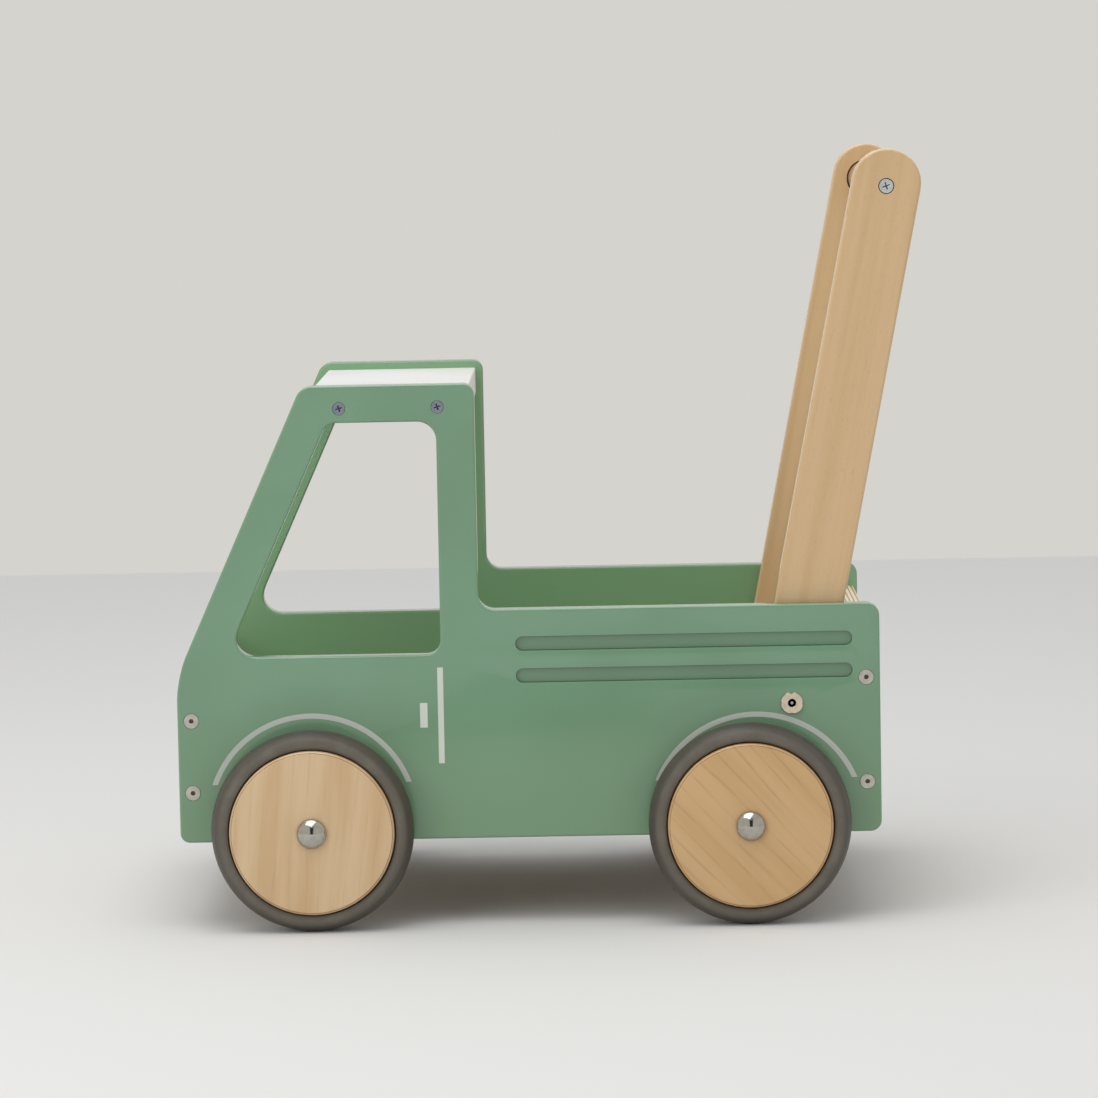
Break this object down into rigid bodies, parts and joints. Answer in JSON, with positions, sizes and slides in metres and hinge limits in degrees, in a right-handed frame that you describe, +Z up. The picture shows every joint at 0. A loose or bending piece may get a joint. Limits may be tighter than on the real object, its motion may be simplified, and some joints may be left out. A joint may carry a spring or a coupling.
{
  "type": "push along truck",
  "caption": "Toddler push walker shaped as a pickup truck: open plywood body with cab frame and load bed, rubber-tyred wooden wheels and a leaning push handle.",
  "frame": {"origin": "on the ground under the middle of the truck's bounding box", "axes": "+Z up, +X to the rear where the handle is, -X to the nose, -Y the truck's left-hand side, +Y its right-hand side"},
  "size_m": [0.4701, 0.3434, 0.4799],
  "materials": {
    "green_paint": "sage green satin paint on birch plywood, edges rounded and painted",
    "white_paint": "white satin paint on plywood",
    "birch_ply": "clear-lacquered birch plywood, plies showing on the edges",
    "beech": "clear-lacquered solid beech, fine straight grain, rounded edges",
    "wheel_wood": "clear-lacquered pale wood with broad flat-sawn grain, rounded rim",
    "grey_rubber": "matte warm grey rubber",
    "zinc_steel": "zinc-plated steel, fine satin",
    "nickel": "warm nickel-plated steel, satin",
    "polished_steel": "polished plated steel",
    "nylon": "natural white nylon"
  },
  "bodies": {
    "chassis": {"floor_board": "birch_ply", "front_axle": "zinc_steel", "front_board": "birch_ply", "front_left_axle_cap": "polished_steel", "front_left_washer": "nylon", "front_right_axle_cap": "polished_steel", "front_right_washer": "nylon", "handle_grip": "beech", "left_front_screw_lower": "nickel", "left_front_screw_upper": "nickel", "left_grip_screw": "zinc_steel", "left_handle_board": "beech", "left_handle_bolt_lower": "zinc_steel", "left_handle_bolt_upper": "zinc_steel", "left_roof_screw_front": "zinc_steel", "left_roof_screw_rear": "zinc_steel", "left_side_panel": "green_paint", "left_tailgate_screw_lower": "nickel", "left_tailgate_screw_upper": "nickel", "left_tee_nut_lower": "nickel", "left_tee_nut_upper": "nickel", "rear_axle": "zinc_steel", "rear_left_axle_cap": "polished_steel", "rear_left_washer": "nylon", "rear_right_axle_cap": "polished_steel", "rear_right_washer": "nylon", "right_front_screw_lower": "nickel", "right_front_screw_upper": "nickel", "right_grip_screw": "zinc_steel", "right_handle_board": "beech", "right_handle_bolt_lower": "zinc_steel", "right_handle_bolt_upper": "zinc_steel", "right_roof_screw_front": "zinc_steel", "right_roof_screw_rear": "zinc_steel", "right_side_panel": "green_paint", "right_tailgate_screw_lower": "nickel", "right_tailgate_screw_upper": "nickel", "right_tee_nut_lower": "nickel", "right_tee_nut_upper": "nickel", "roof_board": "white_paint", "tailgate": "birch_ply"},
    "front_left_wheel": {"front_left_wheel": "wheel_wood", "front_left_tyre": "grey_rubber"},
    "front_right_wheel": {"front_right_wheel": "wheel_wood", "front_right_tyre": "grey_rubber"},
    "rear_left_wheel": {"rear_left_wheel": "wheel_wood", "rear_left_tyre": "grey_rubber"},
    "rear_right_wheel": {"rear_right_wheel": "wheel_wood", "rear_right_tyre": "grey_rubber"}
  },
  "joints": [
    {"name": "front_left_wheel_spin", "type": "hinge", "parent": "chassis", "child": "front_left_wheel", "pos_m": [-0.15086, -0.1509, 0.06325], "axis": [0, 1, 0], "continuous": true},
    {"name": "front_right_wheel_spin", "type": "hinge", "parent": "chassis", "child": "front_right_wheel", "pos_m": [-0.15086, 0.1509, 0.06325], "axis": [0, 1, 0], "continuous": true},
    {"name": "rear_left_wheel_spin", "type": "hinge", "parent": "chassis", "child": "rear_left_wheel", "pos_m": [0.12184, -0.1509, 0.06325], "axis": [0, 1, 0], "continuous": true},
    {"name": "rear_right_wheel_spin", "type": "hinge", "parent": "chassis", "child": "rear_right_wheel", "pos_m": [0.12184, 0.1509, 0.06325], "axis": [0, 1, 0], "continuous": true}
  ]
}
